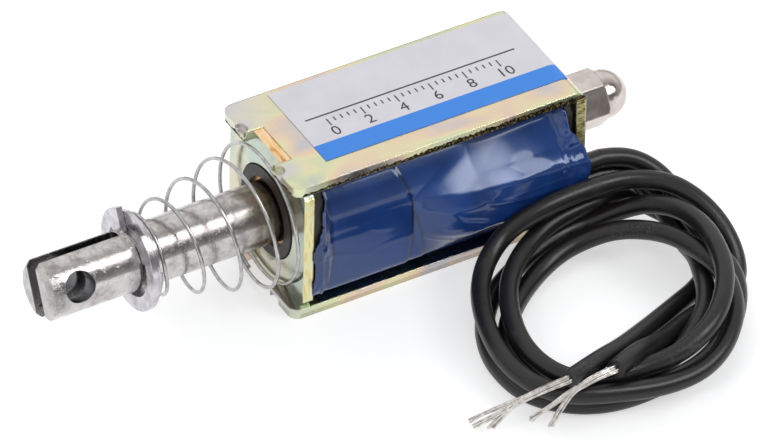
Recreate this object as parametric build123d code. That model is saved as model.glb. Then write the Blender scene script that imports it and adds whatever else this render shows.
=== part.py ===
from build123d import *
import math
import os

# A small push pull solenoid, in millimetres. Its plunger lies along X: the forked clevis end
# points to -X and the domed nut to +X. The mounting face is z = 0, and the origin lies midway
# between the two tapped mounting holes.

# Frame: a folded sheet (top, rear and bottom) closed by a staked front plate
body_length = 30.0
body_width = 13.5
body_height = 15.0
sheet = 1.0
bend_radius = 0.35
lug_reach = 1.0
lug_corner = 1.0
tab_width = 5.2
tab_recess = 0.1
stake_radius = 0.75
stake_depth = 0.6
plate_corner = 0.7
plate_hole_clearance = 0.1
mount_spacing = 18.0
mount_bore = 2.5
overrun = 1.0

# Bobbin, winding, insulation
flange = 1.0
flange_clearance = 0.1
flange_side_gap = 0.2
flange_corner = 1.6
barrel_wall = 0.6
collar_radius = 4.45
collar_proud = 0.1
sleeve_wall = 0.33
sleeve_recess = 0.35
seat_clearance = 0.02
winding_gap = 0.2
paper = 0.15
tape = 0.15
tape_side_gap = 0.06

# Plunger with its clevis, rod and nut
plunger_radius = 2.9
running_clearance = 0.07
plunger_reach = 22.5
plunger_gap = 10.3
clevis_slot = 1.8
clevis_depth = 8.6
clevis_hole = 2.9
clevis_hole_reach = 3.1
clevis_roll = 24.0
clevis_chamfer = 0.45
tail_chamfer = 0.35
groove_reach = 9.3
groove_radius = 2.5
groove_play = 0.04
rod_radius = 1.25
rod_clearance = 0.1
rod_seat = 5.0
rod_chamfer = 0.2

# Fixed core
core_length = 7.7
core_chamfer = 0.4
core_neck_radius = 2.1
rivet_radius = 2.5
rivet_height = 0.6
rivet_edge = 0.2

# Nut and the washer that stops it
stop_gap = 0.05
stop_thickness = 1.4
stop_radius = 2.3
nut_flats = 4.75
nut_hex = 3.2
nut_chamfer = 0.25
nut_turn = 1.5
dome_radius = 2.3
dome_straight = 0.5
thread_depth = 4.2

# Retaining clip, spring seat and return spring
clip_thickness = 0.6
clip_radius = 4.87
clip_pocket = 3.5
clip_turn = 90.0
clip_throat = 55.0
clip_prong = 24.0
clip_jaw = 34.5
seat_thickness = 0.4
seat_radius = 4.4
seat_play = 0.02
wire_radius = 0.18
spring_small = 3.85
spring_gap = 0.12
spring_proud = 0.14
spring_turns = 3.3
spring_end_pitch = 0.45
spring_foot_pitch = 0.9
spring_foot_turns = 1.1
spring_start = 80.0
spring_play = 0.05

# Label on the top sheet, lapped over the rear bend
label_front = 4.5
label_side = 2.4
label_width = 10.6
label_thickness = 0.08
label_lap = 32.0

# Leads: two insulated leads that run under the tape and lie in a loose coil
lead_radius = 0.9
lead_height = 7.3
lead_gap = 0.1
lead_root = 8.0
lead_exit = 1.0
lead_seat = 0.05
joint_length = 2.2
joint_radius = 0.6
core_strands_radius = 0.5
cover_start = 14.0
cover_taper = 5.0
cover_overhang = -0.8
heel_lift = 0.85
heel_radius = 1.0
crest_lean = 0.4
crest_rise = 1.1
crest_radius = 0.5
coil_width = 4.4
coil_height = 4.4
coil_rounding = 1.9
coil_lift = 0.02
strand_radius = 0.15
strand_root = 2.4

axis_z = body_height / 2
body_front = -body_length / 2
body_rear = body_length / 2
plate_outer = body_front + lug_reach
plate_inner = plate_outer + sheet
wall_inner = body_rear - sheet
AXIS = Axis((0, 0, axis_z), (1, 0, 0))

os.makedirs("parts", exist_ok=True)


def save(name, shape):
    export_step(shape, f"parts/{name}.step")


def extruded(sketch, start, end):
    """Runs a section, drawn about the plunger's axis, from one station along X to another."""
    return extrude(Plane.YZ.offset(start) * (Pos(0, axis_z) * sketch), end - start)


def ring(start, end, outer, inner):
    return extruded(Circle(outer) - Circle(inner), start, end)


def turned(*outline):
    """Turns an outline of (station, radius) points about the plunger's axis."""
    wire = Polyline(*[(x, axis_z + r) for x, r in outline], close=True)
    return revolve(Plane.XZ * make_face(wire), AXIS)


# Folded sheet: its side profile meets its plan, which has the notches for the plate's tabs
def yoke():
    gap = body_height - 2 * sheet
    inside = Pos(-sheet / 2 - overrun / 2, 0) * Rectangle(body_length - sheet + overrun, gap)
    profile = Rectangle(body_length, body_height) - inside
    profile = fillet(profile.vertices().group_by(Axis.X)[-2], bend_radius)
    profile = fillet(profile.vertices().group_by(Axis.X)[-1], bend_radius + sheet)
    folded = extrude(Plane.XZ * (Pos(0, axis_z) * profile), body_width / 2, both=True)
    plan = Rectangle(body_length, body_width)
    plan = fillet(plan.vertices().group_by(Axis.X)[0], lug_corner)
    notch = lug_reach + sheet
    plan -= Pos(body_front + notch / 2, 0) * Rectangle(notch, tab_width)
    folded &= extrude(plan, body_height)
    # Punch marks beside each notch, which hold the plate's tabs
    punch = Cylinder(stake_radius, stake_depth, align=(Align.CENTER, Align.CENTER, Align.MIN))
    for side in (-1, 1):
        for height in (0, body_height - stake_depth):
            folded -= Pos(body_front, side * (tab_width / 2 + stake_radius), height) * punch
    folded -= extruded(Circle(core_neck_radius), wall_inner, body_rear)
    for side in (-1, 1):
        bore = Cylinder(mount_bore / 2, sheet, align=(Align.CENTER, Align.CENTER, Align.MIN))
        folded -= Pos(side * mount_spacing / 2, 0, 0) * bore
    return folded


# Front plate: a cropped plate between the sheets, with a tab up and a tab down
def front_plate():
    panel = Rectangle(body_width, body_height - 2 * sheet)
    panel = chamfer(panel.vertices(), plate_corner)
    panel += Rectangle(tab_width, body_height - 2 * tab_recess)
    panel -= Circle(collar_radius + plate_hole_clearance)
    return extruded(panel, plate_outer, plate_inner)


sleeve_inner = plunger_radius + running_clearance
sleeve_outer = sleeve_inner + sleeve_wall
bore_radius = sleeve_outer + seat_clearance
barrel_radius = bore_radius + barrel_wall
front_flange = plate_inner + flange
rear_flange = wall_inner - flange


# Bobbin: a barrel with two squared flanges and a collar that centres the front plate's hole
def bobbin():
    wide = body_width - 2 * flange_side_gap
    tall = body_height - 2 * sheet - 2 * flange_clearance
    cheek = RectangleRounded(wide, tall, flange_corner)
    spool = ring(front_flange, rear_flange, barrel_radius, bore_radius)
    spool += extruded(cheek - Circle(bore_radius), plate_inner, front_flange)
    rear = extruded(cheek - Circle(bore_radius), rear_flange, wall_inner)
    # The rear cheek is bevelled where the frame's bends leave it no square corner
    rear_edges = rear.edges().filter_by(Axis.Y).group_by(Axis.X)[-1]
    spool += chamfer(rear_edges, bend_radius)
    spool += ring(plate_outer - collar_proud, plate_inner, collar_radius, bore_radius)
    return spool


tape_radius = body_height / 2 - sheet - winding_gap
paper_radius = tape_radius - tape
winding_radius = paper_radius - paper


def winding():
    return ring(front_flange, rear_flange, winding_radius, barrel_radius)


def paper_wrap():
    return ring(front_flange, rear_flange, paper_radius, winding_radius)


# The leads lie one over the other, against whichever sticks out more, frame or paper
lead_y = -(max(body_width / 2, paper_radius) + lead_radius)
lead_end = body_rear + lead_exit
lead_a_height = lead_height
lead_b_height = lead_a_height - 2 * lead_radius - lead_gap


# Section of the tape over the coil alone. Its loose lower edge stands away from the coil
def plain_circles(inset):
    heel = Pos(heel_radius - body_width / 2, heel_lift + heel_radius + sheet - axis_z)
    return [Circle(tape_radius - inset), heel * Circle(heel_radius - inset)]


# Section of the tape over the coil and the two leads beside it, creased above the leads
def cover_circles(inset):
    around_lead = lead_radius + tape_side_gap + tape - inset
    crest = Pos(lead_y - crest_lean, lead_a_height + crest_rise - axis_z)
    circles = plain_circles(inset) + [crest * Circle(crest_radius - inset)]
    for height in (lead_a_height, lead_b_height):
        circles.append(Pos(lead_y, height - axis_z) * Circle(around_lead))
    return circles


def taut(circles):
    return make_hull([c.edge() for c in circles])


# The same section where the tape slopes out from the coil to the leads
def swelling(section, coil_radius, around_lead, start, full):
    far = body_width
    plan = Polyline(
        (start, -coil_radius),
        (full, lead_y - around_lead),
        (full, far),
        (start, far),
        close=True,
    )
    slope = extrude(Plane.XY * make_face(plan), body_height)
    return extruded(section, start, full) & slope


# Outer tape: a plain wrap in front, swelling over the leads and lapping past the rear plate
def tape_wrap():
    start = body_front + cover_start
    full = start + cover_taper
    end = lead_end + cover_overhang
    hollow = lead_radius + tape_side_gap
    outer = taut(cover_circles(0))
    inner = taut(cover_circles(tape))
    wrap = extruded(taut(plain_circles(0)), front_flange, full)
    wrap += swelling(outer, tape_radius, hollow + tape, start, full)
    wrap -= swelling(inner, paper_radius, hollow, start, full)
    wrap -= extruded(taut(plain_circles(tape)), front_flange, full)
    wrap += extruded(outer - inner, full, rear_flange)
    beside = Pos(lead_y - body_width / 2 + lead_radius - lead_seat, 0)
    flap = (outer - inner) & (beside * Rectangle(body_width, body_width))
    wrap += extruded(flap, rear_flange, end)
    return wrap


def guide_sleeve():
    return ring(plate_outer + sleeve_recess, wall_inner, sleeve_outer, sleeve_inner)


core_front = wall_inner - core_length
rod_bore = rod_radius + rod_clearance
rivet_end = body_rear + rivet_height


# Fixed core: fills the rear of the sleeve, and its neck is riveted over the rear wall
def fixed_core():
    radius = sleeve_inner - seat_clearance
    return turned(
        (core_front, rod_bore),
        (core_front, radius - core_chamfer),
        (core_front + core_chamfer, radius),
        (wall_inner, radius),
        (wall_inner, core_neck_radius),
        (body_rear, core_neck_radius),
        (body_rear, rivet_radius),
        (rivet_end - rivet_edge, rivet_radius),
        (rivet_end, rivet_radius - rivet_edge),
        (rivet_end, rod_bore),
    )


plunger_tip = body_front - plunger_reach
plunger_end = core_front - plunger_gap
groove_rear = plunger_tip + groove_reach + clip_thickness + groove_play
groove_front = groove_rear - clip_thickness - 2 * groove_play


# Plunger: turned bar with a clip groove, slotted and cross-drilled as a clevis
def plunger():
    bar = turned(
        (plunger_tip, 0),
        (plunger_tip, plunger_radius - clevis_chamfer),
        (plunger_tip + clevis_chamfer, plunger_radius),
        (groove_front, plunger_radius),
        (groove_front, groove_radius),
        (groove_rear, groove_radius),
        (groove_rear, plunger_radius),
        (plunger_end - tail_chamfer, plunger_radius),
        (plunger_end, plunger_radius - tail_chamfer),
        (plunger_end, rod_radius),
        (plunger_end - rod_seat, rod_radius),
        (plunger_end - rod_seat, 0),
    )
    across = 2 * plunger_radius + 2 * overrun
    saw = Box(clevis_depth, clevis_slot, across, align=(Align.MIN, Align.CENTER, Align.CENTER))
    bar -= Pos(plunger_tip, 0, axis_z) * (Rot(-clevis_roll, 0, 0) * saw)
    drill = Rot(90 - clevis_roll, 0, 0) * Cylinder(clevis_hole / 2, across)
    bar -= Pos(plunger_tip + clevis_hole_reach, 0, axis_z) * drill
    return bar


stop_front = rivet_end + stop_gap
nut_front = stop_front + stop_thickness
hex_end = nut_front + nut_hex
rod_end = nut_front + thread_depth


def push_rod():
    start = plunger_end - rod_seat
    return turned(
        (start, 0),
        (start, rod_radius),
        (rod_end - rod_chamfer, rod_radius),
        (rod_end, rod_radius - rod_chamfer),
        (rod_end, 0),
    )


def stop_washer():
    return ring(stop_front, nut_front, stop_radius, rod_radius + seat_clearance)


# Domed nut: a hexagon with turned corners under a round cap, over a blind thread
def domed_nut():
    corner = nut_flats / math.sqrt(3)
    hexagon = RegularPolygon(nut_flats / 2, 6, major_radius=False, rotation=nut_turn)
    body = extruded(hexagon, nut_front, hex_end)
    body &= turned(
        (nut_front, 0),
        (nut_front, corner - nut_chamfer),
        (nut_front + nut_chamfer, corner),
        (hex_end - nut_chamfer, corner),
        (hex_end, corner - nut_chamfer),
        (hex_end, 0),
    )
    body += extruded(Circle(dome_radius), nut_front, hex_end + dome_straight)
    body += Pos(hex_end + dome_straight, 0, axis_z) * Sphere(dome_radius)
    return body - extruded(Circle(rod_radius), nut_front, rod_end)


def sector(inner, outer, middle, spread):
    """A piece of an annulus, spread either side of a middle direction in degrees."""
    start = middle - spread / 2
    near = CenterArc((0, 0), inner, start, spread)
    far = CenterArc((0, 0), outer, start, spread)
    return make_face([near, far, Line(near @ 0, far @ 0), Line(near @ 1, far @ 1)])


clip_rear = groove_rear - groove_play
clip_front = clip_rear - clip_thickness


# Retaining clip: an open stamped ring whose three prongs grip the plunger's groove
def retaining_clip():
    inner = groove_radius + seat_clearance
    blank = Circle(clip_radius) - Circle(inner)
    blank -= sector(inner - seat_clearance, clip_radius + overrun, clip_turn, clip_throat)
    pocket = 180 - clip_prong / 2 - clip_throat / 2 - clip_jaw
    for side in (-1, 1):
        middle = clip_turn + 180 + side * (clip_prong + pocket) / 2
        blank -= sector(inner - seat_clearance, clip_pocket, middle, pocket)
    return extruded(blank, clip_front, clip_rear)


seat_front = clip_rear + seat_play
seat_rear = seat_front + seat_thickness


def spring_seat():
    return ring(seat_front, seat_rear, seat_radius, plunger_radius + running_clearance)


# The foot of the spring bears on the front plate, between the ends of the frame's lugs
foot_reach = math.hypot(body_height / 2 - sheet - spring_gap, tab_width / 2)
foot_reach = min(foot_reach, body_width / 2 + spring_proud)
spring_large = foot_reach - wire_radius


# Return spring: a closed turn on the seat, an open cone, and a wide foot on the front plate
def return_spring():
    start = seat_rear + wire_radius + spring_play
    foot = plate_outer - wire_radius - spring_play
    foot_rise = spring_foot_pitch * spring_foot_turns
    rise = foot - start - spring_end_pitch - foot_rise
    cone = math.degrees(math.atan2(spring_large - spring_small, rise))
    stretches = [(spring_end_pitch, spring_end_pitch, spring_small, 0)]
    stretches.append((rise / spring_turns, rise, spring_small, cone))
    stretches.append((spring_foot_pitch, foot_rise, spring_large, 0))
    station = start
    turned_by = spring_start
    wire = None
    for pitch, height, radius, angle in stretches:
        path = Helix(pitch, height, radius, (station, 0, axis_z), (1, 0, 0), angle)
        path = path.rotate(AXIS, turned_by)
        section = Plane(origin=path @ 0, z_dir=path % 0) * Circle(wire_radius)
        turn = sweep(section, path=path, is_frenet=True)
        wire = turn if wire is None else wire + Pos(path @ 0) * Sphere(wire_radius) + turn
        station += height
        turned_by += 360 * height / pitch
    return wire


# Label: a thin strip stuck flat on the top sheet and a little way round the rear bend
def label():
    bend = bend_radius + sheet
    centre = (body_rear - bend, body_height - bend)
    front = body_front + label_front
    edges = []
    for radius in (bend, bend + label_thickness):
        top = centre[1] + radius
        edges.append(Line((front, top), (centre[0], top)))
        edges.append(CenterArc(centre, radius, 90, -label_lap))
    edges.append(Line(edges[0] @ 0, edges[2] @ 0))
    edges.append(Line(edges[1] @ 1, edges[3] @ 1))
    far = label_side + label_width - body_width / 2
    return extrude(Plane.XZ.offset(-far) * make_face(edges), label_width)


# Route of each lead past the tape, then of its end that lies across the coil. The coil's
# middle line goes once round. All are points on the surface that the solenoid lies on.
lead_routes = {
    "lead_a_exit": [
        (lead_end, lead_y, lead_a_height),
        (19.4, lead_y, lead_a_height),
        (22.3, -9.3, 6.5),
        (24.0, -12.2, 5.4),
        (24.0, -15.6, 4.2),
    ],
    "lead_b_exit": [
        (lead_end, lead_y, lead_b_height),
        (19.4, lead_y, lead_b_height),
        (22.3, -9.3, 4.6),
        (24.0, -12.2, 3.5),
        (24.0, -15.6, 2.3),
    ],
    "lead_a_tail": [
        (20.8, -20.0, 2.6),
        (17.6, -23.1, 3.1),
        (11.2, -26.2, 3.9),
        (4.4, -29.0, 4.65),
        (-0.3, -30.3, 4.6),
    ],
    "lead_b_tail": [
        (20.9, -23.0, 1.8),
        (16.0, -25.9, 2.8),
        (10.0, -28.7, 3.8),
        (3.9, -31.2, 4.65),
    ],
}
coil_route = [
    (0.2, -13.2),
    (-2.3, -21.5),
    (-0.4, -28.8),
    (6.4, -31.2),
    (15.8, -27.0),
    (22.6, -21.4),
    (24.4, -13.4),
    (17.6, -9.9),
    (7.2, -9.9),
]
strand_tips = {
    "lead_a_strands": [
        (-8.4, -26.6, 0.9),
        (-8.9, -27.5, 0.5),
        (-8.3, -28.3, 0.8),
        (-7.6, -28.9, 0.4),
        (-7.9, -27.3, 1.4),
        (-6.9, -28.2, 1.2),
    ],
    "lead_b_strands": [
        (-4.2, -29.8, 0.8),
        (-4.5, -30.4, 0.4),
        (-3.9, -30.9, 0.5),
        (-3.1, -31.6, 0.4),
        (-3.4, -30.4, 1.2),
        (-2.7, -31.0, 0.9),
    ],
}


def corner_radii(points, closed=False):
    """Largest even rounding at each corner: 0.45 of its shorter run, over tan(half the turn)."""
    spots = [Vector(*p) for p in points]
    corners = range(len(spots)) if closed else range(1, len(spots) - 1)
    radii = []
    for i in corners:
        before = spots[i] - spots[i - 1]
        after = spots[(i + 1) % len(spots)] - spots[i]
        half = math.radians(before.get_angle(after)) / 2
        radii.append(0.45 * min(before.length, after.length) / math.tan(half))
    return radii


def lead_tube(name):
    points = lead_routes[name]
    radii = corner_radii(points)
    path = FilletPolyline(*points, radius=radii)
    section = Plane(origin=path @ 0, z_dir=path % 0) * Circle(lead_radius)
    tube = sweep(section, path=path)
    share = tube.volume / (math.pi * lead_radius**2 * path.length)
    print(name, "radii", [round(r, 1) for r in radii], "length", round(path.length, 1), round(share, 4))
    return tube


# Coil of both leads as one closed band, flat on the surface under the solenoid
def lead_coil():
    radii = corner_radii(coil_route, closed=True)
    height = coil_lift + coil_height / 2
    path = FilletPolyline(*[(x, y, height) for x, y in coil_route], radius=radii, close=True)
    along = path % 0
    across = along.cross(Vector(0, 0, 1))
    section = RectangleRounded(coil_width, coil_height, coil_rounding)
    band = sweep(Plane(origin=path @ 0, x_dir=across, z_dir=along) * section, path=path)
    share = band.volume / (section.area * path.length)
    print("lead_coil radii", [round(r, 1) for r in radii], "length", round(path.length, 1), round(share, 4))
    return band


def straight_wire(start, end, radius):
    run = Vector(*end) - Vector(*start)
    return extrude(Plane(origin=start, z_dir=run) * Circle(radius), run.length)


# Bared end of a lead: a short bundle that fans out into separate strands
def bared_strands(name, tail):
    last = Vector(*lead_routes[tail][-1])
    heading = (last - Vector(*lead_routes[tail][-2])).normalized()
    fork = last + heading * strand_root
    bundle = straight_wire(last, fork, core_strands_radius)
    for tip in strand_tips[name]:
        bundle += straight_wire(fork - heading * strand_root / 2, tip, strand_radius)
    return bundle


def lead_root_piece(height):
    start = lead_end - lead_root
    return Pos(0, lead_y, height - axis_z) * extruded(Circle(lead_radius), start, lead_end)


# Soldered joint at the inner end of a lead: the bared core with a bead of solder
def lead_joint(height):
    end = lead_end - lead_root
    bead = Pos(end - joint_length / 2, 0, axis_z) * Sphere(joint_radius)
    core = extruded(Circle(core_strands_radius), end - joint_length, end)
    return Pos(0, lead_y, height - axis_z) * (core + bead)


save("yoke", yoke())
save("front_plate", front_plate())
save("bobbin", bobbin())
save("coil_winding", winding())
save("paper_wrap", paper_wrap())
save("tape_wrap", tape_wrap())
save("guide_sleeve", guide_sleeve())
save("fixed_core", fixed_core())
save("plunger", plunger())
save("push_rod", push_rod())
save("stop_washer", stop_washer())
save("domed_nut", domed_nut())
save("retaining_clip", retaining_clip())
save("spring_seat", spring_seat())
save("return_spring", return_spring())
save("label", label())
save("lead_a_root", lead_root_piece(lead_a_height))
save("lead_b_root", lead_root_piece(lead_b_height))
save("lead_a_joint", lead_joint(lead_a_height))
save("lead_b_joint", lead_joint(lead_b_height))
for lead_name in lead_routes:
    save(lead_name, lead_tube(lead_name))
save("lead_coil", lead_coil())
save("lead_a_strands", bared_strands("lead_a_strands", "lead_a_tail"))
save("lead_b_strands", bared_strands("lead_b_strands", "lead_b_tail"))
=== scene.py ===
import math
import random

import bmesh
import bpy
import numpy as np
from mathutils import Matrix, Vector, noise


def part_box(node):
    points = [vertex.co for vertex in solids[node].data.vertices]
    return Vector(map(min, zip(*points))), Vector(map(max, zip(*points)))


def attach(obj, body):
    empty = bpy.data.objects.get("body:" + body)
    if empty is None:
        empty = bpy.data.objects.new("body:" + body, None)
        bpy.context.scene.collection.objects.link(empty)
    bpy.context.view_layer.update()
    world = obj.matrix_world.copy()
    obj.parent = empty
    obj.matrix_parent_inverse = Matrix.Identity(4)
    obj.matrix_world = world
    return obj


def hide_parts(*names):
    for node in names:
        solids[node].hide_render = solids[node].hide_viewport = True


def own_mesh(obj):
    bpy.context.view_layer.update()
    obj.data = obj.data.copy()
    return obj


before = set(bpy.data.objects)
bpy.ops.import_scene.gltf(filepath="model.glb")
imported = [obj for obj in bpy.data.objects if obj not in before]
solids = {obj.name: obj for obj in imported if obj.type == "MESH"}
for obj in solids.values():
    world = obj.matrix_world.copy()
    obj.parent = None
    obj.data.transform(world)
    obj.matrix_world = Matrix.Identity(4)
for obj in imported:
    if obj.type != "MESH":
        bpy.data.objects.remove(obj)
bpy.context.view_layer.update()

mm = 0.001

# Places on the solenoid, in millimetres from the middle of its mounting face
axis_height = 7.5
half_width = 6.75
body_front = -15.0
body_top = 15.0


# Camera, floor and light. A long lens looks down on the solenoid from its front left, over
# a white table. Behind the camera the room is dim, and a wide soft light hangs at the back.
def added(name, data):
    """A new object in the scene."""
    made = bpy.data.objects.new(name, data)
    bpy.context.collection.objects.link(made)
    return made


eye = bpy.data.cameras.new("camera")
eye.lens = 601.7
eye.sensor_width = 36
eye.clip_start = 0.05
eye.clip_end = 20
camera = added("camera", eye)
camera.location = (-458.53 * mm, -765.303 * mm, 736.092 * mm)
camera.rotation_euler = [math.radians(turn) for turn in (50.48245, -1.09923, -29.9236)]
bpy.context.scene.camera = camera
bpy.context.scene.view_settings.view_transform = "Standard"


def node(tree, kind, inputs=(), **settings):
    """A shader node with its settings, and its inputs linked or set."""
    made = tree.nodes.new("ShaderNode" + kind)
    for name, value in settings.items():
        setattr(made, name, value)
    for name, value in dict(inputs).items():
        socket = made.inputs[name]
        if isinstance(value, bpy.types.NodeSocket):
            tree.links.new(value, socket)
        else:
            socket.default_value = value
    return made


def ramp(tree, factor, *stops):
    """A colour ramp whose stops are (place, grey or colour)."""
    made = node(tree, "ValToRGB", {"Fac": factor})
    points = made.color_ramp.elements
    while len(points) < len(stops):
        points.new(0.5)
    for point, (place, colour) in zip(points, stops):
        point.position = place
        point.color = (colour,) * 3 + (1,) if isinstance(colour, (int, float)) else (*colour, 1)
    return made.outputs["Color"]


def mix(tree, factor, first, second, blend="MIX"):
    """Two colours mixed."""
    made = node(tree, "Mix", data_type="RGBA", blend_type=blend)
    for index, value in ((0, factor), (6, first), (7, second)):
        socket = made.inputs[index]
        if isinstance(value, bpy.types.NodeSocket):
            tree.links.new(value, socket)
        elif index == 0:
            socket.default_value = value
        else:
            socket.default_value = (*value, 1)
    return made.outputs[2]


def maths(tree, operation, *values):
    """One step of arithmetic on numbers or sockets."""
    made = node(tree, "Math", operation=operation)
    for socket, value in zip(made.inputs, values):
        if isinstance(value, bpy.types.NodeSocket):
            tree.links.new(value, socket)
        else:
            socket.default_value = value
    return made.outputs[0]


def times(tree, first, *others):
    """The product of numbers or sockets."""
    for other in others:
        first = maths(tree, "MULTIPLY", first, other)
    return first


def fade(tree, value, start, stop, first=0.0, last=1.0):
    """Goes from the first number to the last while a value goes from start to stop."""
    return node(tree, "MapRange", {"Value": value, 1: start, 2: stop, 3: first, 4: last}).outputs[0]


def facing(tree, heading, direction):
    """How nearly a ray heads in a direction: one where it does, nought across it."""
    inputs = {0: heading, 1: Vector(direction).normalized()}
    return node(tree, "VectorMath", inputs, operation="DOT_PRODUCT").outputs["Value"]


behind_camera = (0.42, -0.62, 0.66)
to_window = (0.23, -0.46, 0.86)

room = bpy.data.worlds.new("room")
bpy.context.scene.world = room
room.use_nodes = True
tree = room.node_tree
tree.nodes.clear()
ray = node(tree, "LightPath")
heading = node(tree, "TexCoord").outputs["Generated"]
behind = facing(tree, heading, behind_camera)
seen = ramp(tree, behind, (0.50, 1.0), (0.78, 0.62), (0.91, 0.18), (0.98, 0.10))
rise = node(tree, "SeparateXYZ", {0: heading}).outputs["Z"]
low = ramp(tree, rise, (0.0, 0.42), (0.12, 0.62), (0.35, 1.0))
dim_room = mix(tree, 1.0, seen, low, "MULTIPLY")
window = fade(tree, facing(tree, heading, to_window), 0.966, 0.994, 0.0, 7.5)
mirrored = mix(tree, 1.0, dim_room, window, "ADD")
lit = node(tree, "Background", {"Color": (0.93, 0.96, 1.0, 1), "Strength": 0.55})
shown = node(tree, "Background", {"Color": (1, 1, 1, 1), "Strength": 1.0})
glossy = node(tree, "Background", {"Color": mirrored, "Strength": 1.0})
first = node(tree, "MixShader", {0: ray.outputs["Is Glossy Ray"], 1: lit.outputs[0], 2: glossy.outputs[0]})
clear = maths(tree, "MAXIMUM", ray.outputs["Is Camera Ray"], ray.outputs["Is Transmission Ray"])
second = node(tree, "MixShader", {0: clear, 1: first.outputs[0], 2: shown.outputs[0]})
node(tree, "OutputWorld", {0: second.outputs[0]})


def lamp(name, place, aim, size, power, colour=(1, 1, 1), mirrored=False):
    """A soft light that faces a point on the solenoid, and may show in polished faces."""
    data = bpy.data.lights.new(name, "AREA")
    data.shape = "RECTANGLE"
    data.size, data.size_y = (side * mm for side in size)
    data.energy = power
    data.color = colour
    made = added(name, data)
    made.visible_glossy = mirrored
    made.location = Vector(place) * mm
    beam = Vector(aim) * mm - made.location
    made.rotation_euler = beam.to_track_quat("-Z", "Y").to_euler()


lamp("back_light", (140, 330, 330), (0, 0, 8), (420, 260), 1.0)
lamp("left_light", (-330, -60, 300), (-5, 0, 8), (240, 240), 0.35, (1, 0.97, 0.93))
lamp("right_light", (190, -195, 215), (10, -8, 8), (130, 120), 0.25, mirrored=True)

table_reach = 3000
table_drop = 0.01
table = bmesh.new()
bmesh.ops.create_grid(table, x_segments=1, y_segments=1, size=table_reach * mm)
bmesh.ops.translate(table, verts=table.verts, vec=(0, 0, -table_drop * mm))
table_mesh = bpy.data.meshes.new("table")
table.to_mesh(table_mesh)
table.free()
table_top = added("table", table_mesh)
white = bpy.data.materials.new("white_table")
white.use_nodes = True
tree = white.node_tree
tree.nodes.clear()
ray = node(tree, "LightPath")
matt = node(tree, "BsdfDiffuse", {"Color": (0.86, 0.86, 0.86, 1)})
pale = node(tree, "BsdfDiffuse", {"Color": (0.66, 0.66, 0.66, 1)})
glow = node(tree, "Emission", {"Color": (1, 1, 1, 1), "Strength": 0.54})
both = node(tree, "AddShader", {0: pale.outputs[0], 1: glow.outputs[0]})
clear = maths(tree, "MAXIMUM", ray.outputs["Is Camera Ray"], ray.outputs["Is Glossy Ray"])
mixed = node(tree, "MixShader", {0: clear, 1: matt.outputs[0], 2: both.outputs[0]})
node(tree, "OutputMaterial", {0: mixed.outputs[0]})
table_mesh.materials.append(white)


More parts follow.
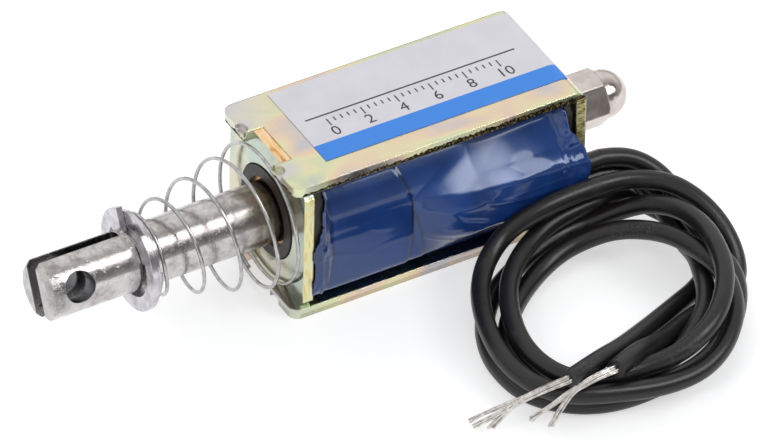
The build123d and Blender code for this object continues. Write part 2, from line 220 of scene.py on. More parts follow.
# Leads: two stranded wires in black PVC, run out under the tape and let fall in two loose
# turns each. The jackets are extruded, slightly satin, and scuffed where they were handled.
lead_size = 1.8
lead_routes = {
    "lead_a": [
        (16.0, -7.65, 7.3), (17.7, -7.9, 7.15), (19.6, -8.7, 6.5), (21.1, -10.2, 5.3), (21.5, -12.3, 4.2),
        (21.3, -14.9, 3.35), (21.2, -17.6, 2.95), (21.5, -20.2, 2.9), (21.3, -22.7, 2.8), (20.2, -25.3, 2.5),
        (18.4, -27.5, 2.0), (16.1, -29.2, 1.55), (13.5, -30.3, 1.1), (10.9, -30.8, 0.95), (8.6, -31.0, 0.95),
        (6.3, -31.2, 0.95), (3.9, -31.0, 0.95), (1.8, -30.3, 0.95), (0.1, -29.2, 0.95), (-1.4, -27.7, 0.95),
        (-2.4, -25.9, 0.95), (-2.8, -23.7, 0.95), (-2.7, -21.2, 0.95), (-2.1, -18.9, 0.95), (-1.1, -16.7, 0.95),
        (0.4, -14.6, 0.95), (2.5, -12.6, 0.95), (5.2, -11.0, 1.0), (8.2, -9.9, 1.4), (11.2, -9.5, 1.9),
        (14.1, -9.8, 2.25), (16.5, -10.9, 3.6), (18.4, -12.7, 4.9), (19.8, -15.2, 5.6), (20.3, -18.4, 6.0),
        (19.8, -21.8, 6.25), (18.8, -25.0, 6.2), (17.2, -27.6, 5.9), (15.2, -29.6, 5.4), (12.8, -30.8, 4.7),
        (10.2, -31.0, 3.8), (7.4, -30.4, 3.1), (4.5, -29.9, 2.8), (2.3, -29.2, 2.75), (0.8, -27.9, 2.75),
        (-0.1, -25.8, 2.75), (-0.4, -23.3, 2.75), (0.0, -20.5, 2.75), (1.1, -17.3, 2.75), (2.7, -14.4, 2.8),
        (4.7, -12.3, 2.9), (7.0, -10.7, 3.2), (9.8, -9.6, 3.7), (12.6, -9.3, 3.9), (15.1, -9.0, 3.8),
        (17.5, -8.5, 3.2), (19.7, -9.0, 1.9), (21.6, -11.2, 1.0), (22.4, -14.0, 0.95), (22.1, -17.0, 0.95),
        (20.8, -19.4, 0.95), (18.3, -21.1, 0.95), (15.9, -22.2, 1.2), (13.4, -23.5, 1.6), (11.0, -24.8, 2.1),
        (6.9, -27.1, 3.2), (3.5, -28.8, 4.4), (-0.3, -30.2, 4.7),
    ],
    "lead_b": [
        (16.0, -7.65, 5.4), (17.8, -7.85, 5.25), (19.4, -8.9, 4.5), (20.2, -10.7, 3.4), (20.4, -13.1, 2.3),
        (20.2, -15.8, 1.8), (19.8, -18.5, 2.5), (18.9, -21.1, 2.75), (17.8, -23.6, 2.85), (16.4, -25.7, 2.75),
        (14.6, -27.2, 2.4), (12.4, -28.4, 1.6), (9.8, -28.95, 1.0), (6.9, -28.9, 0.95), (4.1, -28.5, 0.95),
        (1.6, -27.3, 0.95), (-0.2, -25.2, 0.95), (-0.9, -22.5, 0.95), (-0.4, -19.8, 0.95), (0.9, -17.4, 0.95),
        (2.9, -15.3, 0.95), (5.1, -13.6, 1.0), (7.5, -12.3, 1.3), (10.0, -11.7, 1.9), (12.4, -11.9, 2.5),
        (14.6, -12.8, 3.3), (16.6, -14.5, 3.85), (18.1, -17.0, 4.45), (19.0, -19.9, 4.6), (19.5, -22.6, 4.45),
        (19.3, -25.1, 4.3), (18.4, -27.6, 4.0), (16.9, -29.7, 3.6), (14.7, -31.5, 2.95), (12.1, -32.5, 2.45),
        (9.5, -32.7, 2.35), (6.9, -32.5, 2.45), (4.4, -31.9, 2.6), (2.0, -31.2, 2.75), (0.0, -30.2, 2.75),
        (-1.4, -28.8, 2.75), (-2.4, -26.8, 2.75), (-2.8, -24.5, 2.75), (-2.7, -21.9, 2.75), (-2.0, -18.8, 2.75),
        (-1.0, -16.0, 2.75), (0.4, -13.3, 2.8), (2.3, -11.1, 3.2), (4.4, -9.9, 4.1), (6.4, -9.7, 5.1),
        (8.6, -9.9, 5.9), (11.2, -9.9, 6.3), (14.4, -9.9, 6.4), (17.6, -10.4, 6.4), (20.4, -12.1, 6.2),
        (21.8, -14.2, 5.7), (22.8, -16.5, 4.6), (23.2, -18.6, 3.2), (23.0, -20.5, 1.7), (21.9, -22.1, 0.95),
        (19.9, -23.2, 0.95), (17.2, -23.9, 0.95), (14.1, -25.3, 1.4), (11.8, -26.7, 2.0), (9.6, -27.9, 2.9),
        (6.8, -29.4, 4.3), (3.9, -31.1, 4.85),
    ],
}


def material(name, metallic=0.0, roughness=0.5, **sockets):
    """A new material: its tree, its surface shader and Object coordinates."""
    made = bpy.data.materials.new(name)
    made.use_nodes = True
    tree = made.node_tree
    surface = tree.nodes["Principled BSDF"]
    surface.inputs["Metallic"].default_value = metallic
    surface.inputs["Roughness"].default_value = roughness
    for key, value in sockets.items():
        surface.inputs[key.replace("_", " ")].default_value = value
    place = node(tree, "TexCoord").outputs["Object"]
    return made, tree, surface, place


def grain(tree, place, size, detail=3.0, stretch=(1, 1, 1), roughness=0.5, distortion=0.0):
    """Noise whose lumps are that many millimetres across, stretched along the axes."""
    shrunk = [1 / along for along in stretch]
    scaled = node(tree, "Mapping", {"Vector": place, "Scale": shrunk}, vector_type="POINT")
    inputs = {
        "Vector": scaled.outputs[0],
        "Scale": 1 / (size * mm),
        "Detail": detail,
        "Roughness": roughness,
        "Distortion": distortion,
    }
    return node(tree, "TexNoise", inputs).outputs[0]


def paint(tree, surface, colour, roughness=None):
    """Links a colour to a surface, and a roughness where that varies too."""
    tree.links.new(colour, surface.inputs["Base Color"])
    if roughness is not None:
        tree.links.new(roughness, surface.inputs["Roughness"])


def bump(tree, surface, height, depth, under=None):
    """Relief of that many millimetres on a surface, over another relief if one is given."""
    inputs = {"Height": height, "Distance": depth * mm, "Strength": 1.0}
    if under is not None:
        inputs["Normal"] = under
    made = node(tree, "Bump", inputs)
    tree.links.new(made.outputs[0], surface.inputs["Normal"])
    return made.outputs[0]


def worn(tree, radius, under=None):
    """A relief that rounds sharp edges to that many millimetres."""
    inputs = {"Radius": radius * mm}
    if under is not None:
        inputs["Normal"] = under
    return node(tree, "Bevel", inputs, samples=4).outputs[0]


def dress(look, *names):
    """Gives a material to solids of the part."""
    for name in names:
        solids[name].data.materials.clear()
        solids[name].data.materials.append(look)


def round_curve(name, size, fineness):
    """An empty curve that draws round strands of that many millimetres across."""
    made = bpy.data.curves.new(name, "CURVE")
    made.dimensions = "3D"
    made.bevel_depth = size / 2 * mm
    made.bevel_resolution = fineness
    made.use_fill_caps = True
    return made


def strand(curve, points, fineness):
    """One smooth strand of a curve, from its first point to its last, in millimetres."""
    line = curve.splines.new("NURBS")
    line.points.add(len(points) - 1)
    for point, corner in zip(line.points, points):
        point.co = (*(Vector(corner) * mm), 1)
    line.order_u = 3
    line.use_endpoint_u = True
    line.resolution_u = fineness
    return line


jacket, tree, surface, place = material("black_pvc", roughness=0.4, Specular_IOR_Level=0.45)
rubbed = ramp(tree, grain(tree, place, 3.2, 4.0), (0.55, 0.0), (0.72, 1.0))
speck = ramp(tree, grain(tree, place, 0.22, 2.0), (0.42, 0.0), (0.66, 1.0))
scuff = mix(tree, 1.0, rubbed, speck, "MULTIPLY")
colour = mix(tree, scuff, (0.0115, 0.0095, 0.0100), (0.055, 0.052, 0.055))
paint(tree, surface, colour, ramp(tree, rubbed, (0.0, 0.33), (1.0, 0.56)))
bump(tree, surface, grain(tree, place, 0.18, 3.0), 0.012)
dress(jacket, "lead_a_root", "lead_b_root")

for name, route in lead_routes.items():
    curve = round_curve(name, lead_size, 6)
    strand(curve, route, 6).use_smooth = True
    curve.materials.append(jacket)
    lead = added(name, curve)
    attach(lead, "frame")
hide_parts("lead_a_exit", "lead_a_tail", "lead_coil")
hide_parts("lead_b_exit", "lead_b_tail", "lead_coil")


# Bared ends: twelve tinned copper wires in each lead, drawn, stripped and splayed by hand,
# so the bundle stays round at the jacket and parts into a few bent tips.
tinned, tree, surface, place = material("tinned_copper", metallic=1.0, roughness=0.3)
dull = grain(tree, place, 0.5, 3.0)
colour = ramp(tree, dull, (0.35, (0.50, 0.46, 0.42)), (0.6, (0.78, 0.76, 0.73)))
paint(tree, surface, colour, ramp(tree, dull, (0.3, 0.42), (0.7, 0.24)))
bump(tree, surface, grain(tree, place, 0.06, 2.0), 0.004)

wire_size = 0.19
wires_in_lead = 12
wires_in_outer_ring = 9
outer_ring, inner_ring = 0.34, 0.12
tucked_in = 0.9
twist = 1.3
parts_at = 0.45
bundles = {
    "lead_a": [
        ((-8.2, -26.7, 0.5), 3), ((-8.3, -27.3, 0.3), 3), ((-7.4, -28.3, 0.35), 4), ((-6.9, -28.5, 0.5), 2),
    ],
    "lead_b": [((-4.3, -30.4, 1.7), 6), ((-3.0, -31.6, 1.3), 6)],
}
arch = {"lead_a": 0.55, "lead_b": 1.0}
for name, splayed in bundles.items():
    tail = lead_routes[name]
    last, before = Vector(tail[-1]), Vector(tail[-2])
    along = (last - before).normalized()
    side = along.cross(Vector((0, 0, 1))).normalized()
    rise = side.cross(along)
    mean = sum((Vector(tip) * count for tip, count in splayed), Vector()) / wires_in_lead
    chance = random.Random(name)
    curve = round_curve(name + "_bared", wire_size, 2)
    wires = [Vector(tip) for tip, count in splayed for each in range(count)]
    for count, tip in enumerate(wires):
        turn = 2 * math.pi * count / wires_in_outer_ring
        held = inner_ring if count % 4 == 3 else outer_ring
        tip += Vector([chance.uniform(-0.28, 0.28), chance.uniform(-0.2, 0.2), chance.uniform(-0.08, 0.25)])
        points = [last - along * tucked_in + (side * math.cos(turn) + rise * math.sin(turn)) * held]
        for share in (0.0, 0.12, 0.24, 0.36, 0.48, 0.6, 0.72, 0.86):
            parted = max(0.0, (share - parts_at) / (1 - parts_at)) ** 1.3
            centre = last + (mean - last) * share + (tip - mean) * parted
            centre += Vector((0, 0, arch[name] * math.sin(math.pi * share)))
            turned = turn + twist * share
            loose = held * (1 - 0.55 * share)
            points.append(centre + (side * math.cos(turned) + rise * math.sin(turned)) * loose)
        points.append(tip)
        strand(curve, points, 5)
    curve.materials.append(tinned)
    ends = added(name + "_bared", curve)
    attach(ends, "frame")
    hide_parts(name + "_strands")


# Yoke and front plate: steel sheet, pressed and folded, then plated with yellow zinc that
# shows green and pink. The plate's tabs are staked into the yoke, and cut edges are torn.
def torn_edge(tree, place, pale, gold, dark, size, stretch, share):
    """The broken grain of a sheared edge: its bright, gold and dark specks, and its relief."""
    coarse = grain(tree, place, size, 4.0, stretch, 0.65)
    colour = ramp(tree, coarse, (share - 0.06, dark), (share + 0.01, gold), (share + 0.09, pale))
    return colour, coarse


def between(tree, value, low, high, soft=0.03):
    """One between two places, in millimetres, and nought outside them."""
    rising = fade(tree, value, (low - soft) * mm, (low + soft) * mm)
    falling = fade(tree, value, (high - soft) * mm, (high + soft) * mm, 1.0, 0.0)
    return times(tree, rising, falling)


def beyond(tree, value, limit):
    """One where a place lies past a limit, in millimetres, and nought before it."""
    return maths(tree, "GREATER_THAN", value, limit * mm)


cut_depth = 0.03
top_sheet = 14.02
rear_sheet = 14.05, 14.9
far_corner = Vector((body_front, half_width, body_top))

zinc, tree, surface, place = material("yellow_zinc", metallic=1.0)
x, y, z = node(tree, "SeparateXYZ", {0: place}).outputs
aside = maths(tree, "ABSOLUTE", y)
tint = grain(tree, place, 7.0, 2.5, (1.6, 1.0, 1.0), 0.45, 0.8)
tint_fine = grain(tree, place, 1.6, 3.0)
hue = maths(tree, "ADD", times(tree, tint, 0.95), times(tree, tint_fine, 0.05))
plated = ramp(
    tree,
    hue,
    (0.34, (0.55, 0.57, 0.52)),
    (0.43, (0.64, 0.68, 0.46)),
    (0.50, (0.76, 0.72, 0.46)),
    (0.56, (0.80, 0.62, 0.46)),
    (0.64, (0.58, 0.56, 0.58)),
)
# The far front corner and the marks punched beside the notch took a thin, silvery plate
corner_inputs = {0: place, 1: far_corner * mm}
from_corner = node(tree, "VectorMath", corner_inputs, operation="DISTANCE").outputs["Value"]
thin_corner = fade(tree, from_corner, 1.0 * mm, 5.5 * mm, 1.0, 0.0)
near_front = fade(tree, x, -14.2 * mm, -12.2 * mm, 1.0, 0.0)
punched = times(tree, between(tree, aside, 2.9, 4.6, 0.4), near_front)
silvery = times(tree, maths(tree, "MAXIMUM", thin_corner, punched), 0.85)
plated = mix(tree, silvery, plated, (0.64, 0.62, 0.63))
torn = torn_edge(
    tree, place, (0.46, 0.38, 0.20), (0.16, 0.11, 0.04), (0.016, 0.012, 0.008), 0.24, (0.9, 1.0, 1.1), 0.55
)[0]
scored, scored_relief = torn_edge(
    tree, place, (0.80, 0.74, 0.42), (0.52, 0.42, 0.15), (0.05, 0.04, 0.02), 0.30, (2.4, 1.0, 0.5), 0.46
)
side_face = beyond(tree, aside, half_width - cut_depth)
front_face = maths(tree, "LESS_THAN", x, (body_front + cut_depth) * mm)
cut = maths(tree, "MAXIMUM", side_face, front_face)
# The top sheet's edge is torn below a clean band that widens towards the front
ragged = maths(tree, "SUBTRACT", grain(tree, place, 0.5, 3.0, (0.6, 1.0, 1.0)), 0.5)
calm = fade(tree, x, -14.0 * mm, 6.0 * mm, 14.25 * mm, 14.6 * mm)
broken = maths(tree, "SUBTRACT", calm, times(tree, ragged, 0.8 * mm))
below = maths(tree, "LESS_THAN", z, broken)
top_band = times(tree, cut, below, beyond(tree, z, top_sheet))
rear_band = times(tree, side_face, between(tree, x, *rear_sheet), between(tree, z, 0.8, 14.2))
low_band = times(tree, cut, between(tree, z, 0.02, 0.5), 0.3)
colour = mix(tree, top_band, plated, torn)
colour = mix(tree, rear_band, colour, scored)
colour = mix(tree, low_band, colour, torn)
rough_skin = ramp(tree, grain(tree, place, 1.6, 3.0), (0.35, 0.20), (0.65, 0.29))
torn_share = maths(tree, "MAXIMUM", top_band, rear_band)
paint(tree, surface, colour, mix(tree, torn_share, rough_skin, (0.5, 0.5, 0.5)))
rolled = bump(tree, surface, grain(tree, place, 0.5, 2.0, (4.0, 1.0, 1.0)), 0.003)
bump(tree, surface, times(tree, rear_band, scored_relief), 0.05, under=worn(tree, 0.22, rolled))
dress(zinc, "yoke")

plate_side = 6.6
tab_reach = 7.22

bright_zinc, tree, surface, place = material("front_plate_zinc", metallic=1.0)
y, z = node(tree, "SeparateXYZ", {0: place}).outputs[1:]
tint = grain(tree, place, 5.0, 2.0, (1.0, 1.0, 1.6), 0.45, 0.6)
plated = ramp(tree, tint, (0.40, (0.50, 0.58, 0.50)), (0.52, (0.60, 0.64, 0.50)), (0.62, (0.68, 0.62, 0.50)))
streaks = grain(tree, place, 0.4, 2.0, (0.8, 1.0, 4.0), 0.5)
gold = ramp(tree, streaks, (0.34, (0.66, 0.58, 0.28)), (0.50, (0.80, 0.73, 0.40)), (0.64, (0.72, 0.74, 0.48)))
smear = grain(tree, place, 0.7, 3.0, (1.0, 2.4, 1.0), 0.6)
peach = ramp(tree, smear, (0.34, (0.62, 0.30, 0.10)), (0.48, (0.90, 0.60, 0.30)), (0.64, (0.92, 0.72, 0.56)))
from_axis = maths(tree, "ABSOLUTE", maths(tree, "SUBTRACT", z, axis_height * mm))
tab_end = beyond(tree, from_axis, tab_reach)
side_face = beyond(tree, maths(tree, "ABSOLUTE", y), plate_side)
cut = maths(tree, "MAXIMUM", tab_end, side_face)
colour = mix(tree, tab_end, mix(tree, side_face, plated, gold), peach)
paint(tree, surface, colour, ramp(tree, grain(tree, place, 0.8, 3.0), (0.35, 0.12), (0.65, 0.24)))
skin = bump(tree, surface, grain(tree, place, 0.5, 2.0), 0.006)
bump(tree, surface, times(tree, streaks, cut), 0.02, under=worn(tree, 0.15, skin))
dress(bright_zinc, "front_plate")


# Bobbin: injection moulded in black glass filled nylon, with a collar that shows in the
# front plate's hole. Its glass gives the skin a fine, slightly brown grain.
nylon, tree, surface, place = material("black_nylon", roughness=0.42)
fibre = grain(tree, place, 0.35, 4.0, (1.0, 1.0, 1.0), 0.6)
colour = ramp(tree, fibre, (0.35, (0.010, 0.008, 0.008)), (0.7, (0.035, 0.027, 0.023)))
paint(tree, surface, colour, ramp(tree, fibre, (0.3, 0.34), (0.7, 0.58)))
bump(tree, surface, fibre, 0.012, under=worn(tree, 0.12))
dress(nylon, "bobbin")


# Coil: enamelled copper wire, wound in close layers on the bobbin, under a lap of cream
# paper. The two joints to the leads are soft soldered, and lie under the tape.
copper, tree, surface, place = material("enamelled_copper", metallic=1.0, roughness=0.25)
layer = {"Vector": place, "Scale": 1000.0, "Distortion": 0.4}
turns = node(tree, "TexWave", layer, bands_direction="X").outputs["Fac"]
paint(tree, surface, ramp(tree, turns, (0.1, (0.25, 0.07, 0.02)), (0.8, (0.75, 0.30, 0.12))))
bump(tree, surface, turns, 0.05)
dress(copper, "coil_winding")

paper, tree, surface, place = material("cream_paper", roughness=0.75)
pulp = grain(tree, place, 0.4, 5.0, (1.0, 2.5, 2.5))
paint(tree, surface, ramp(tree, pulp, (0.3, (0.62, 0.54, 0.38)), (0.7, (0.80, 0.74, 0.58))))
bump(tree, surface, pulp, 0.02)
dress(paper, "paper_wrap")

solder, tree, surface, place = material("soft_solder", metallic=1.0, roughness=0.3)
crust = grain(tree, place, 0.3, 3.0)
paint(tree, surface, ramp(tree, crust, (0.3, (0.42, 0.42, 0.43)), (0.7, (0.74, 0.74, 0.75))))
bump(tree, surface, crust, 0.05)
dress(solder, "lead_a_joint", "lead_b_joint")


# Tape: glossy blue polyester film, wound tight over the paper and then over both leads, so
# it swells along them. Its end is lapped, its ridge is creased, and a flap stands past the
# rear wall, crumpled round the leads.
tape_radius = 6.3
tape_thickness = 0.13
# Round things under the film: how far each lies along Y, how high, and its radius
heel = ((-5.75, 2.85, 1.0),)
over_leads = ((-7.65, 7.3, 1.11), (-7.65, 5.4, 1.11))
ridge_high, ridge_low = ((-8.1, 8.6, 0.45),), ((-8.15, 7.5, 0.45),)
cheek_corners = ((-5.46, 12.25, 1.25), (-5.46, 2.9, 1.25))
rear_corner = ((-5.46, 12.25, 1.25),)
tape_start, tape_stop = -13.65, 14.5
coil_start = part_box("coil_winding")[0].x / mm + 0.02
coil_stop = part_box("coil_winding")[1].x / mm - 0.02
seam = -2.6
seam_width = 0.15
swell_length = 5.2
ridge_level = -1.4
around = 300
stations = 164

angles = np.linspace(0, 2 * math.pi, 721)[:-1]


def pulled_over(rods):
    """Reach of film pulled tight over the coil and over rods beside it, at every angle."""
    reach = np.full(angles.shape, tape_radius)
    for rod_y, rod_z, rod_radius in rods:
        rod_reach = rod_y * np.cos(angles) + (rod_z - axis_height) * np.sin(angles) + rod_radius
        reach = np.maximum(reach, rod_reach)
    return reach


def taut(reach, angle):
    """How far the pulled film lies from the coil's axis at an angle about it."""
    lean = np.cos(angles - angle)
    ahead = lean > 0.05
    return float(np.min(reach[ahead] / lean[ahead]))


def crease(point, size, seed):
    """A sharp fold line, one at its crest and nought away from it."""
    value = noise.noise(Vector(point) / size + Vector((seed, 2.7 * seed, -seed)))
    return max(0.0, 1 - abs(value) * 7)


def step_up(value, low, high):
    """Rises smoothly from nought at one place to one at the other."""
    share = min(1.0, max(0.0, (value - low) / (high - low)))
    return share * share * (3 - 2 * share)


def seam_line(x_mm, place, width):
    """One along a line across the film and nought away from it."""
    return math.exp(-(((x_mm - place) / width) ** 2))


film = bmesh.new()
bmesh.ops.create_grid(film, x_segments=around, y_segments=stations, size=0.5)
shapes = [
    pulled_over(heel),
    pulled_over(heel + over_leads + ridge_high),
    pulled_over(heel + over_leads + ridge_low),
    pulled_over(cheek_corners),
    pulled_over(heel + over_leads + ridge_low + rear_corner),
]
taut_reach = {}
shade = film.verts.layers.float.new("seam_shade")
for vert in film.verts:
    step = round((vert.co.x + 0.5) * around)
    angle = 2 * math.pi * step / around
    if step not in taut_reach:
        taut_reach[step] = [taut(shape, angle) for shape in shapes]
    plain, high, low_ridge, front_cheek, rear_cheek = taut_reach[step]
    x_mm = tape_start + (tape_stop - tape_start) * (vert.co.y + 0.5)
    above = plain * math.sin(angle)
    # The film swells over the leads behind the seam, and rises over the cheek at each end
    sway = 1 - step_up(x_mm, -0.5, 7.5) + 0.22 * noise.noise(Vector((x_mm / 2.4, 4.2, 1.7)))
    full = high + (low_ridge - high) * sway
    begins = seam + 1.7 * max(0.0, above - 1.2)
    rise = min(1.0, max(0.0, (x_mm - begins) / swell_length))
    swell = 1 - (1 - rise) ** 2.0
    radius = plain + (full - plain) * swell
    radius += (front_cheek - radius) * (1 - step_up(x_mm, coil_start, coil_start + 0.8))
    lift = 0.5 * min(1.0, max(0.0, (x_mm - 3.5) / 9.4)) + 0.5 * step_up(x_mm, 11.9, 12.8)
    radius += (rear_cheek - radius) * lift * min(1.0, max(0.0, (above - 0.6) / 1.5))
    y_mm, z_mm = radius * math.cos(angle), radius * math.sin(angle)
    # Where the laps, the front strip, the rear end, the flap and the ridge lie
    open_side = min(1.0, max(0.0, (-y_mm - 3.2) / 2.0))
    first_seam = -2.72 - (0.069 if above > 0.48 else 0.019) * (above - 0.48) ** 2
    second_seam = -2.54 + 0.192 * (0.14 - above)
    strip_edge = -10.9 - 0.214 * max(0.0, ridge_level - above)
    strip = 1 - step_up(x_mm, strip_edge - 0.3, strip_edge)
    lap = 1 - step_up(x_mm, first_seam - seam_width, first_seam + seam_width)
    second_lap = 1 - step_up(x_mm, second_seam - seam_width, second_seam + seam_width)
    second_lap *= step_up(-above, -0.5, 0.3)
    rear_end = max(0.0, 1 - abs(x_mm - 12.4) / 1.1)
    flap = max(0.0, min(1.0, (x_mm - 13.0) / 1.2))
    on_ridge = max(0.0, 1 - abs(above - ridge_level) / 2.8) * (0.2 + 0.8 * swell)
    # Puffs and folds, in millimetres proud of the taut film
    puff = 0.04 * noise.noise(Vector((x_mm / 5.5, y_mm / 5, z_mm / 4.0)))
    long_fold = crease((x_mm / 4.0, y_mm, z_mm * 0.8 + 0.14 * x_mm), 1.5, 3.1) * on_ridge
    front_fold = crease((x_mm * 1.3, y_mm / 3, z_mm / 6 + 0.2 * x_mm), 0.8, 5.3) * strip
    rear_fold = crease((x_mm, y_mm / 3, z_mm / 3.4 + 0.3 * x_mm), 1.2, 8.3) * (0.9 * rear_end + flap)
    crumple = crease((x_mm * 1.2, y_mm, z_mm / 1.6 + 0.4 * x_mm), 1.5, 11.7)
    crumple *= 0.8 * rear_end + 0.5 * flap
    proud = 0.03 + puff + 0.15 * long_fold + 0.13 * front_fold
    proud = proud + 0.20 * rear_fold + 0.16 * crumple + 0.07 * strip
    radius += open_side * max(0.0, proud + 0.09 * lap + 0.05 * second_lap)
    # Painted shade: the film's colour is darkened along the steps of its laps and along the strip's edge, and
    # the strip is darker all over
    dark = seam_line(x_mm, first_seam + 0.1, 0.13)
    dark += 0.8 * seam_line(x_mm, second_seam + 0.1, 0.12) * step_up(-above, -0.4, 0.2)
    dark += 0.7 * seam_line(x_mm, strip_edge + 0.05, 0.13) + 0.35 * strip * (1 - front_fold)
    vert[shade] = min(1.0, dark)
    vert.co = Vector((x_mm, radius * math.cos(angle), axis_height + radius * math.sin(angle))) * mm
bmesh.ops.remove_doubles(film, verts=film.verts, dist=0.00001)


def trimmed(face):
    """Whether a face lies past the edge of the film, at its front end, its rear end or the flap."""
    x_mm, y_mm, z_mm = face.calc_center_median() / mm
    if x_mm < coil_start:
        slant = -13.04 + 0.33 * min(2.6, max(0.0, z_mm - 7.2)) + 0.05 * math.sin(1.6 * z_mm)
        return y_mm > -5.6 or z_mm < 1.8 or x_mm < slant
    if x_mm > coil_stop:
        over_cheek = x_mm < 13.3 - 0.05 * (z_mm - 8) and y_mm < -5.0 and z_mm > 6.5
        flap_end = 14.42 - 0.42 * max(0.0, 7.4 - z_mm) - 0.16 * max(0.0, z_mm - 8.6) ** 2
        over_roots = y_mm < -6.95 and x_mm < flap_end
        return not (over_cheek or over_roots)
    return False


bmesh.ops.delete(film, geom=[face for face in film.faces if trimmed(face)], context="FACES")
for repeat in range(4):
    rim = [vert for vert in film.verts if vert.is_boundary]
    bmesh.ops.smooth_vert(film, verts=rim, factor=0.5, use_axis_x=True, use_axis_y=True, use_axis_z=True)
bmesh.ops.recalc_face_normals(film, faces=film.faces)
for face in film.faces:
    face.smooth = True
film_mesh = bpy.data.meshes.new("tape")
film.to_mesh(film_mesh)
film.free()
tape = added("tape", film_mesh)
thick = tape.modifiers.new("thickness", "SOLIDIFY")
thick.thickness = tape_thickness * mm
thick.offset = -1
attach(tape, "frame")
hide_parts("tape_wrap")

blue, tree, surface, place = material(
    "blue_polyester",
    roughness=0.25,
    Coat_Weight=0.8,
    Coat_Roughness=0.07,
    Specular_Tint=(0.5, 0.66, 1.0, 1.0),
)
patch = grain(tree, place, 5.0, 2.0, (0.7, 1.0, 1.0))
body = ramp(tree, patch, (0.35, (0.007, 0.035, 0.165)), (0.65, (0.011, 0.053, 0.235)))
# The painted shade in seam_shade darkens the film's colour towards near black blue
seam_shade_factor = node(tree, "Attribute", attribute_name="seam_shade").outputs["Fac"]
paint(tree, surface, mix(tree, seam_shade_factor, body, (0.002, 0.006, 0.03)))
slack = bump(tree, surface, grain(tree, place, 2.2, 2.0, (0.6, 1.0, 1.0)), 0.02)
bump(tree, surface, grain(tree, place, 0.45, 2.0, (0.5, 1.0, 1.0)), 0.004, under=slack)
film_mesh.materials.append(blue)


# Guide sleeve and fixed core: a drawn brass tube in the bobbin's bore, and a soft iron core
# that fills its rear end, turned, with a neck riveted over the rear wall.
brass, tree, surface, place = material("drawn_brass", metallic=1.0)
drawn = grain(tree, place, 0.25, 3.0, (8.0, 1.0, 1.0))
colour = ramp(tree, drawn, (0.3, (0.50, 0.26, 0.12)), (0.7, (0.74, 0.47, 0.26)))
paint(tree, surface, colour, ramp(tree, drawn, (0.3, 0.22), (0.7, 0.38)))
bump(tree, surface, drawn, 0.008)
dress(brass, "guide_sleeve")

iron, tree, surface, place = material("turned_iron", metallic=1.0)
cut_marks = grain(tree, place, 0.12, 2.0, (1.0, 30.0, 30.0))
colour = ramp(tree, cut_marks, (0.3, (0.38, 0.36, 0.33)), (0.7, (0.60, 0.58, 0.55)))
paint(tree, surface, colour, ramp(tree, grain(tree, place, 0.7, 3.0), (0.3, 0.25), (0.7, 0.45)))
bump(tree, surface, cut_marks, 0.01, under=worn(tree, 0.1))
dress(iron, "fixed_core")


# Plunger and push rod: a steel bar, turned, slotted and cross drilled, then nickel plated.
# The plate is blotchy and pitted, with fine lathe rings, and its edges are rubbed bright.
fork_roll = math.radians(24)
hole_from_middle = 34.4
hole_reach = 1.48
slot_half = 0.92
slot_end = -29.1
arm_side = -1.2

nickel, tree, surface, place = material("pitted_nickel", metallic=1.0)
x, y, z = node(tree, "SeparateXYZ", {0: place}).outputs
blotch = grain(tree, place, 1.1, 4.0, (1.0, 1.0, 1.0), 0.6)
stain = grain(tree, place, 3.0, 3.0, (1.0, 0.7, 0.7), 0.55)
base = ramp(tree, blotch, (0.30, (0.34, 0.31, 0.30)), (0.48, (0.54, 0.52, 0.51)), (0.66, (0.64, 0.62, 0.61)))
# Near the front plate the bar is stained brown, and the fork's end is frosted
near_plate = fade(tree, x, -18.0 * mm, -15.6 * mm)
browned = times(tree, near_plate, ramp(tree, stain, (0.40, 1.0), (0.66, 0.5)))
base = mix(tree, browned, base, (0.19, 0.115, 0.075))
at_fork = fade(tree, x, -33.5 * mm, -36.5 * mm)
frost = times(tree, at_fork, ramp(tree, stain, (0.44, 0.0), (0.54, 1.0)))
# The fork's sides and its cross hole lie 24 degrees round from level
height = maths(tree, "SUBTRACT", z, axis_height * mm)
cosine, sine = math.cos(fork_roll), math.sin(fork_roll)
across = maths(tree, "SUBTRACT", times(tree, y, cosine), times(tree, height, sine))
upward = maths(tree, "ADD", times(tree, y, sine), times(tree, height, cosine))
from_hole = node(tree, "CombineXYZ", {0: maths(tree, "ADD", x, hole_from_middle * mm), 1: upward})
reach = node(tree, "VectorMath", {0: from_hole.outputs[0]}, operation="LENGTH").outputs["Value"]
hole_shade = maths(tree, "LESS_THAN", reach, hole_reach * mm)
between_arms = maths(tree, "LESS_THAN", maths(tree, "ABSOLUTE", across), slot_half * mm)
slot_shade = times(tree, between_arms, maths(tree, "LESS_THAN", x, slot_end * mm))
# The near arm's side is rasped by its tip
near_arm = maths(tree, "LESS_THAN", across, arm_side * mm)
rasped = times(tree, between(tree, x, -37.3, -35.8, 0.4), between(tree, upward, -1.8, 1.4, 0.6))
rasp_marks = grain(tree, place, 0.13, 4.0, (1.0, 1.0, 1.0), 0.75)
rasp = ramp(tree, rasp_marks, (0.36, (0.20, 0.19, 0.19)), (0.64, (0.54, 0.52, 0.51)))
base = mix(tree, times(tree, rasped, near_arm), base, rasp)
# Painted shade: the slot between the arms is darkened to grey, and the cross hole nearly to black
base = mix(tree, slot_shade, base, (0.27, 0.26, 0.26))
base = mix(tree, hole_shade, base, (0.10, 0.10, 0.11))
even = ramp(tree, blotch, (0.32, 0.28), (0.60, 0.17))
paint(tree, surface, base, mix(tree, frost, even, (0.34, 0.34, 0.34)))
speck = grain(tree, place, 0.22, 3.0, (1.0, 1.0, 1.0), 0.65)
rings = grain(tree, place, 0.10, 1.0, (1.0, 40.0, 40.0))
lathe = bump(tree, surface, rings, 0.0012, under=worn(tree, 0.16))
waves = bump(tree, surface, grain(tree, place, 1.5, 3.0, (0.8, 1.0, 1.0), 0.55), 0.018, under=lathe)
rough = bump(tree, surface, times(tree, speck, frost), 0.05, under=waves)
bump(tree, surface, ramp(tree, speck, (0.30, 0.0), (0.42, 1.0)), 0.006, under=rough)
dress(nickel, "plunger")

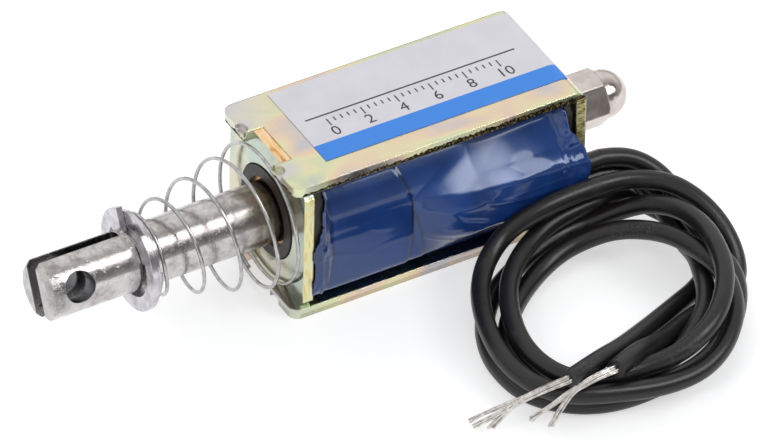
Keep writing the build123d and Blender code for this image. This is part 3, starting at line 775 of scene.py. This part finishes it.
steel, tree, surface, place = material("ground_rod", metallic=1.0)
ground = grain(tree, place, 0.1, 2.0, (1.0, 20.0, 20.0))
colour = ramp(tree, ground, (0.3, (0.50, 0.50, 0.50)), (0.7, (0.68, 0.67, 0.66)))
paint(tree, surface, colour, ramp(tree, ground, (0.3, 0.2), (0.7, 0.32)))
bump(tree, surface, ground, 0.006)
dress(steel, "push_rod")


# Domed nut and stop washer: a pressed and nickel plated cap nut on the rod's thread, and
# the black rubber washer that it draws against the rear wall.
polished, tree, surface, place = material("polished_nickel", metallic=1.0)
cloud = grain(tree, place, 1.8, 3.0)
colour = ramp(tree, cloud, (0.35, (0.50, 0.43, 0.40)), (0.65, (0.66, 0.60, 0.57)))
paint(tree, surface, colour, ramp(tree, cloud, (0.35, 0.11), (0.65, 0.2)))
bump(tree, surface, grain(tree, place, 0.5, 3.0), 0.012, under=worn(tree, 0.18))
dress(polished, "domed_nut")

rubber, tree, surface, place = material("black_rubber", roughness=0.6)
bloom = grain(tree, place, 0.5, 4.0)
paint(tree, surface, ramp(tree, bloom, (0.3, (0.012, 0.012, 0.012)), (0.7, (0.04, 0.04, 0.04))))
bump(tree, surface, bloom, 0.02)
dress(rubber, "stop_washer")


# Retaining clip and spring seat: blanked from spring steel and zinc plated. The clip is
# tumbled, so its edges are round and its faces are dimpled.
stamped, tree, surface, place = material("stamped_steel", metallic=1.0)
dimple = grain(tree, place, 0.9, 3.0, (1.0, 1.0, 1.0), 0.5)
colour = ramp(tree, dimple, (0.34, (0.46, 0.44, 0.47)), (0.62, (0.64, 0.62, 0.65)))
paint(tree, surface, colour, ramp(tree, dimple, (0.3, 0.30), (0.7, 0.18)))
bump(tree, surface, dimple, 0.014, under=worn(tree, 0.14))
dress(stamped, "retaining_clip", "spring_seat")


# Return spring: drawn spring wire, coiled in a cone and left bright, with fine lines along
# the wire from drawing. Its large end rests on the front plate, and the plunger's seat
# presses its small end in.
wire, tree, surface, place = material("spring_wire", metallic=1.0)
lines = grain(tree, place, 0.6, 2.0)
colour = ramp(tree, lines, (0.3, (0.38, 0.37, 0.37)), (0.7, (0.56, 0.55, 0.55)))
paint(tree, surface, colour, ramp(tree, lines, (0.3, 0.22), (0.7, 0.14)))
bump(tree, surface, lines, 0.002)
coils = bmesh.new()
coils.from_mesh(solids["return_spring"].data)
bmesh.ops.remove_doubles(coils, verts=coils.verts, dist=0.000002)
for face in coils.faces:
    face.smooth = True
coil_mesh = bpy.data.meshes.new("spring")
coils.to_mesh(coil_mesh)
coils.free()
spring = added("spring", coil_mesh)
coil_mesh.materials.append(wire)
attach(spring, "frame")
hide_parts("return_spring")
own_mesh(spring)


# Label: white satin film with a blue band printed along its near side and a thin dark rule
# above it, stuck on the top sheet and lapped a little over the rear bend. Its other print is
# a plain scale with numbers.
printed, tree, surface, place = material(
    "printed_film", roughness=0.34, Coat_Weight=0.25, Coat_Roughness=0.2
)
x, y = node(tree, "SeparateXYZ", {0: place}).outputs[:2]
paper_white = ramp(tree, grain(tree, place, 3.0, 3.0), (0.3, (0.61, 0.59, 0.63)), (0.7, (0.66, 0.64, 0.68)))
blue_band = between(tree, y, -10.0, -2.15, 0.02)
rule = times(tree, between(tree, y, 1.26, 1.46, 0.01), between(tree, x, -9.4, 12.2, 0.01))
colour = mix(tree, blue_band, paper_white, (0.006, 0.20, 0.70))
paint(tree, surface, mix(tree, rule, colour, (0.03, 0.03, 0.035)))
bump(tree, surface, grain(tree, place, 1.2, 2.0), 0.01)
dress(printed, "label")

ink, tree, surface, place = material("dark_ink", roughness=0.4)
cloudy = grain(tree, place, 0.2, 2.0)
paint(tree, surface, ramp(tree, cloudy, (0.3, (0.02, 0.02, 0.024)), (0.7, (0.045, 0.045, 0.05))))
ink_lift = 0.012
print_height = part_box("label")[1].z / mm + ink_lift
scale_start, scale_step = -7.6, 3.5
numbers, ticks_to_number = 6, 5
tick_width, long_tick, short_tick = 0.13, 1.0, 0.55
tick_top, number_foot = 0.75, -1.65
marks = bmesh.new()
for tick in range((numbers - 1) * ticks_to_number + 1):
    tall = long_tick if tick % ticks_to_number == 0 else short_tick
    bar = bmesh.ops.create_grid(marks, x_segments=1, y_segments=1, size=0.5)["verts"]
    bmesh.ops.scale(marks, verts=bar, vec=(tick_width, tall, 1))
    along = scale_start + tick * scale_step / ticks_to_number
    bmesh.ops.translate(marks, verts=bar, vec=(along, tick_top - tall / 2, print_height))
bmesh.ops.scale(marks, verts=marks.verts, vec=(mm, mm, mm))
mark_mesh = bpy.data.meshes.new("label_scale")
marks.to_mesh(mark_mesh)
marks.free()
scale_marks = added("label_scale", mark_mesh)
mark_mesh.materials.append(ink)
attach(scale_marks, "frame")
for number in range(numbers):
    words = bpy.data.curves.new(f"label_number_{number}", "FONT")
    words.body = str(number * 2)
    words.size = 1.75 * mm
    words.align_x = "CENTER"
    words.resolution_u = 3
    text = added(words.name, words)
    bpy.context.view_layer.update()
    shape = bpy.data.meshes.new_from_object(text)
    bpy.data.objects.remove(text)
    spot = Vector((scale_start + number * scale_step, number_foot, print_height))
    shape.transform(Matrix.Translation(spot * mm))
    shape.name = words.name
    digit = added(words.name, shape)
    shape.materials.clear()
    shape.materials.append(ink)
    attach(digit, "frame")
